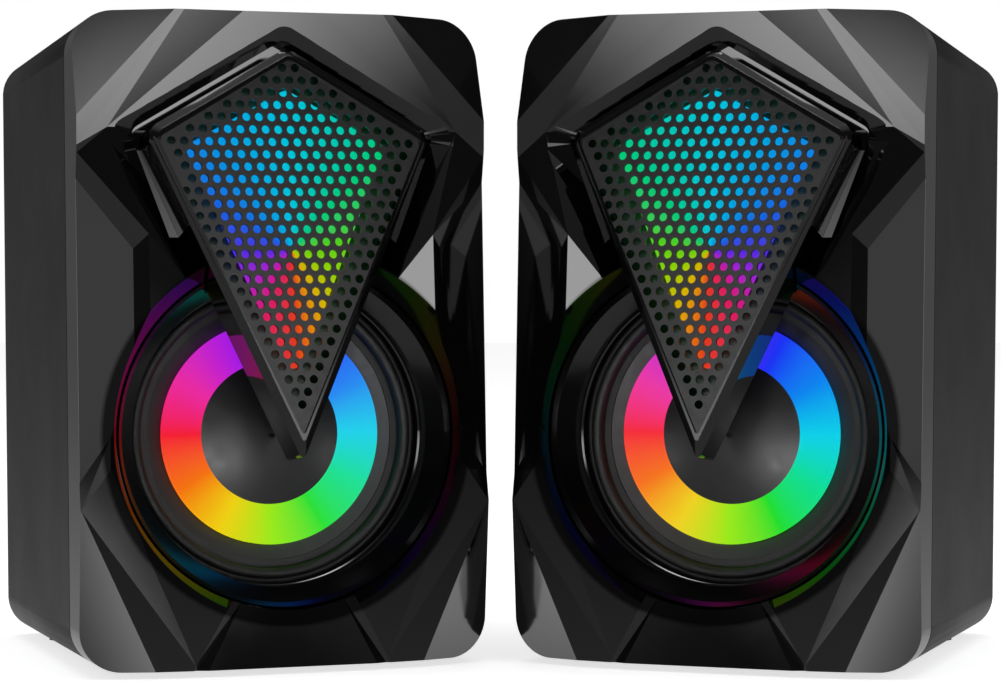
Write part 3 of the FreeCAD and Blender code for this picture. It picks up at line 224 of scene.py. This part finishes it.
def panel_gloss(name, origin, edge):
    """Gloss black whose shine is dulled inside the driver's recess."""
    n = Nodes(name)
    n.feed("Base Color", n.ramp(n.noise(0.03, 3.0), [(0.3, (0.0022, 0.0022, 0.0024)),
                                                     (0.7, (0.0032, 0.0032, 0.0035))]))
    n.feed("Roughness", n.spread(n.noise(0.012, 5.0), 0.045, 0.07))
    n.bump(n.noise(0.0009, 2.0), 0.02, 0.00002)
    level = n.add("ShaderNodeVectorMath", operation="MULTIPLY")
    level.inputs[1].default_value = (1, 0, 1)
    n.link(n.local(origin), level.inputs[0])
    radius = n.add("ShaderNodeVectorMath", operation="LENGTH")
    n.link(level.outputs["Vector"], radius.inputs[0])
    fade = 0.5 * MM
    n.feed("Specular IOR Level",
           n.spread(radius.outputs["Value"], 0.08, 0.5, edge - fade, edge + fade))
    return n.material


def angle_glow(name, origin, stops, strength, turn_sign=1.0):
    """Lit plastic whose colour goes round a centre like a colour wheel."""
    n = Nodes(name)
    parts = n.add("ShaderNodeSeparateXYZ")
    n.link(n.local(origin), parts.inputs["Vector"])
    across = n.add("ShaderNodeMath", operation="MULTIPLY")
    across.inputs[1].default_value = turn_sign
    n.link(parts.outputs["X"], across.inputs[0])
    angle = n.add("ShaderNodeMath", operation="ARCTAN2")
    n.link(parts.outputs["Z"], angle.inputs[0])
    n.link(across.outputs["Value"], angle.inputs[1])
    part_turn = n.spread(angle.outputs["Value"], 0.0, 1.0, -math.pi, math.pi)
    colour = n.ramp(part_turn, stops)
    n.feed("Emission Color", colour)
    n.set(Emission_Strength=strength, Roughness=0.3, Specular_IOR_Level=0.15)
    haze = n.noise(0.004, 2.0)
    n.feed("Base Color", n.ramp(haze, [(0.3, (0.004,) * 3), (0.7, (0.006,) * 3)]))
    return n.material


def wheel(colours):
    """Colour stops once round from -180 degrees, from colours given by angle."""
    start = -180
    stops = []
    for angle, colour in colours:
        position = ((angle - start) % 360) / 360
        stops.append((position, colour))
    stops.sort()
    first, last = stops[0], stops[-1]
    gap = first[0] + 1 - last[0]
    blend = (1 - last[0]) / gap
    seam = tuple(a + (b - a) * blend for a, b in zip(last[1], first[1]))
    return [(0.0, seam)] + stops + [(1.0, seam)]


# Colours by angle in degrees, anticlockwise from the right.
RING_COLOURS = [
    (0, (0.00, 0.62, 0.80)),
    (30, (0.00, 0.22, 0.85)),
    (60, (0.01, 0.03, 0.90)),
    (90, (0.10, 0.01, 0.85)),
    (115, (0.38, 0.01, 0.75)),
    (150, (0.80, 0.02, 0.35)),
    (180, (0.90, 0.01, 0.03)),
    (210, (0.90, 0.16, 0.00)),
    (240, (0.85, 0.62, 0.00)),
    (270, (0.30, 0.80, 0.00)),
    (300, (0.01, 0.72, 0.02)),
    (330, (0.00, 0.72, 0.28)),
]
KITE_COLOURS = [
    (90, (0.00, 0.65, 0.85)),
    (45, (0.00, 0.70, 0.22)),
    (10, (0.10, 0.75, 0.01)),
    (-30, (0.35, 0.75, 0.00)),
    (-65, (0.85, 0.50, 0.00)),
    (-90, (0.90, 0.05, 0.01)),
    (-115, (0.85, 0.01, 0.15)),
    (-150, (0.40, 0.02, 0.75)),
    (180, (0.08, 0.03, 0.90)),
    (150, (0.01, 0.14, 0.90)),
    (120, (0.00, 0.40, 0.90)),
]

RING_STRENGTH = 1.0
KITE_STRENGTH = 0.8
RECESS_EDGE = 42.2 * MM


# -------------------------------------------------------- CAD node helpers

def soften(node, width, angle):
    """Modifiers that join a CAD node's triangles and round its sharp edges."""
    weld = node.modifiers.new("join", "WELD")
    weld.merge_threshold = 0.00001
    flat = node.modifiers.new("flatten", "DECIMATE")
    flat.decimate_type = "DISSOLVE"
    flat.angle_limit = math.radians(1.0)
    bevel = node.modifiers.new("round", "BEVEL")
    bevel.width = width
    bevel.segments = 3
    bevel.limit_method = "ANGLE"
    bevel.angle_limit = math.radians(angle)
    bevel.use_clamp_overlap = True
    bevel.miter_outer = "MITER_ARC"
    bevel.harden_normals = True


def paint(node, material):
    """Give a CAD node one material."""
    node.data.materials.clear()
    node.data.materials.append(material)


# ----------------------------------------------------------------- speakers

def build_speaker(speaker, m):
    """Materials and rounded edges of one speaker."""
    for name, material in (
        ("rear_shell", "case"),
        ("feet", "rubber"),
        ("case_screws", "screw"),
        ("trim_ring", "trim"),
        ("driver_basket", "screw"),
        ("driver_gasket", "rubber"),
        ("driver_screws", "screw"),
        ("top_plate", "zinc"),
        ("magnet", "ferrite"),
        ("yoke", "zinc"),
        ("surround", "rubber"),
        ("cone", "cone"),
        ("dust_cap", "cap"),
        ("voice_coil", "copper"),
        ("spider", "cloth"),
        ("ring_light_board", "board"),
        ("kite_bezel", "gloss"),
        ("kite_grille", "grille"),
        ("kite_light_board", "board"),
        ("kite_back_cover", "case"),
        ("link_gland", "rubber"),
    ):
        paint(speaker.node(name), m[material])
    paint(speaker.node("front_panel"),
          panel_gloss(speaker.name("panel_gloss"), speaker.driver, RECESS_EDGE))
    paint(speaker.node("light_ring"),
          angle_glow(speaker.name("ring_glow"), speaker.driver, wheel(RING_COLOURS), RING_STRENGTH))
    mirror = 1.0 if speaker.side == "left" else -1.0
    paint(speaker.node("kite_diffuser"),
          angle_glow(speaker.name("kite_glow"), speaker.kite, wheel(KITE_COLOURS),
                     KITE_STRENGTH, mirror))
    soften(speaker.node("rear_shell"), 0.3 * MM, 25.0)
    soften(speaker.node("kite_bezel"), 0.25 * MM, 20.0)


materials = make_materials()
for speaker in speakers:
    build_speaker(speaker, materials)
for name, material in (
    ("right_input_gland", "rubber"),
    ("right_volume_pot", "zinc"),
    ("right_amp_board", "board"),
    ("right_volume_knob", "knob"),
    ("right_light_button", "knob"),
):
    paint(nodes[name], materials[material])


# ------------------------------------------------------- floor and lighting

def build_floor():
    """Wide pale table top."""
    data = bmesh.new()
    reach = 3.0
    corners = [(-reach, -reach), (reach, -reach), (reach, reach), (-reach, reach)]
    data.faces.new([data.verts.new((x, y, 0)) for x, y in corners])
    mesh = bpy.data.meshes.new("floor")
    data.to_mesh(mesh)
    data.free()
    floor = bpy.data.objects.new("floor", mesh)
    scene.collection.objects.link(floor)
    n = Nodes("floor_white")
    n.feed("Base Color", n.ramp(n.noise(0.5, 3.0), [(0.3, (0.80, 0.80, 0.81)),
                                                    (0.7, (0.84, 0.84, 0.85))]))
    n.set(Roughness=0.6, Specular_IOR_Level=0.0)
    path = n.add("ShaderNodeLightPath")
    n.set(Emission_Color=(1.0, 1.0, 1.0, 1.0))
    lift = 0.70
    n.feed("Emission Strength", n.spread(path.outputs["Is Camera Ray"], 0.0, lift, 0.0, 1.0))
    paint(floor, n.material)
    floor.visible_glossy = False


# What the gloss facets mirror, one speaker's worth: the other's is mirrored.
# Each lobe is (degrees right of straight ahead, degrees up, half width that is
# full, half width where it ends, brightness).
LOBES = [
    (32, 8, 2, 9, 10.0),
    (42, 3, 1, 6, 0.5),
    (6, 36, 2, 4.6, 4.0),
    (80, 29.5, 2, 4.6, 4.0),
    (4, 4, 2, 5, 1.2),
    (11, -12, 4, 10, 14.0),
    (70, -8, 3, 9, 5.0),
    (12, 72, 4, 14, 12.0),
    (146, 2, 4, 25, 0.12),
]


class WorldNodes:
    """Short calls for building the studio surroundings."""

    def __init__(self, tree):
        self.tree = tree
        self.direction = self.add("ShaderNodeTexCoord").outputs["Generated"]

    def add(self, kind, **settings):
        item = self.tree.nodes.new(kind)
        for key, value in settings.items():
            setattr(item, key, value)
        return item

    def link(self, source, target):
        self.tree.links.new(source, target)

    def smooth(self, source, start, end, low, high):
        item = self.add("ShaderNodeMapRange", interpolation_type="SMOOTHSTEP")
        for key, value in (("From Min", start), ("From Max", end),
                           ("To Min", low), ("To Max", high)):
            item.inputs[key].default_value = value
        self.link(source, item.inputs["Value"])
        return item.outputs["Result"]

    def total(self, first, second):
        item = self.add("ShaderNodeMath", operation="ADD")
        self.link(first, item.inputs[0])
        self.link(second, item.inputs[1])
        return item.outputs["Value"]

    def lobe(self, side, rise, full, end, brightness):
        """Soft round patch of light in one direction."""
        turn, lift = math.radians(side), math.radians(rise)
        aim = (math.sin(turn) * math.cos(lift), -math.cos(turn) * math.cos(lift), math.sin(lift))
        dot = self.add("ShaderNodeVectorMath", operation="DOT_PRODUCT")
        dot.inputs[1].default_value = aim
        self.link(self.direction, dot.inputs[0])
        return self.smooth(dot.outputs["Value"], math.cos(math.radians(end)),
                           math.cos(math.radians(full)), 0.0, brightness)


def build_world():
    """Studio surroundings: white to the eye, dim with soft lights in the gloss."""
    world = bpy.data.worlds.new("studio")
    world.use_nodes = True
    scene.world = world
    world.node_tree.nodes.clear()
    w = WorldNodes(world.node_tree)
    parts = w.add("ShaderNodeSeparateXYZ")
    w.link(w.direction, parts.inputs["Vector"])
    below = w.smooth(parts.outputs["Z"], -0.20, -0.02, 0.55, 0.0)
    above = w.smooth(parts.outputs["Z"], 0.55, 0.95, 0.08, 0.8)
    mirrored = w.total(below, above)
    for side, rise, full, end, brightness in LOBES:
        for turn in (side, -side):
            mirrored = w.total(mirrored, w.lobe(turn, rise, full, end, brightness))
    gloss = w.add("ShaderNodeBackground")
    w.link(mirrored, gloss.inputs["Strength"])
    ambient = w.add("ShaderNodeBackground")
    ambient.inputs["Strength"].default_value = 0.35
    seen = w.add("ShaderNodeBackground")
    seen.inputs["Color"].default_value = (1, 1, 1, 1)
    path = w.add("ShaderNodeLightPath")
    bounce = w.add("ShaderNodeMixShader")
    w.link(path.outputs["Is Glossy Ray"], bounce.inputs["Fac"])
    w.link(ambient.outputs["Background"], bounce.inputs[1])
    w.link(gloss.outputs["Background"], bounce.inputs[2])
    final = w.add("ShaderNodeMixShader")
    w.link(path.outputs["Is Camera Ray"], final.inputs["Fac"])
    w.link(bounce.outputs["Shader"], final.inputs[1])
    w.link(seen.outputs["Background"], final.inputs[2])
    w.link(final.outputs["Shader"], w.add("ShaderNodeOutputWorld").inputs["Surface"])


def add_softbox(name, place, aim, width, height, power):
    """Rectangular area light that neither the camera nor the gloss sees."""
    light = bpy.data.lights.new(name, "AREA")
    light.shape = "RECTANGLE"
    light.size = width
    light.size_y = height
    light.energy = power
    lamp = bpy.data.objects.new(name, light)
    scene.collection.objects.link(lamp)
    lamp.location = place
    lamp.rotation_euler = (Vector(aim) - Vector(place)).to_track_quat("-Z", "Y").to_euler()
    lamp.visible_camera = False
    lamp.visible_glossy = False


def build_lights():
    """Soft overhead box and two large side boxes."""
    middle = (0, 0, 0.07)
    add_softbox("overhead", (0, 0.1, 1.3), middle, 1.6, 1.2, 7)
    for name, side in (("side_left", -1), ("side_right", 1)):
        add_softbox(name, (side * 1.1, -0.35, 0.55), middle, 0.5, 0.9, 1.5)


def build_camera():
    """Long-lens camera, level with the top third of the speakers."""
    camera_data = bpy.data.cameras.new("camera")
    camera = bpy.data.objects.new("camera", camera_data)
    scene.collection.objects.link(camera)
    distance = 0.7453
    height = 0.0893
    pitch_down = math.radians(1.33)
    camera.location = (0, -distance, height)
    camera.rotation_euler = (math.pi / 2 - pitch_down, 0, 0)
    camera_data.sensor_width = 36.0
    camera_data.lens = 114.51
    camera_data.clip_start = 0.01
    scene.camera = camera


build_floor()
build_world()
build_lights()
build_camera()
scene.view_settings.view_transform = "Standard"
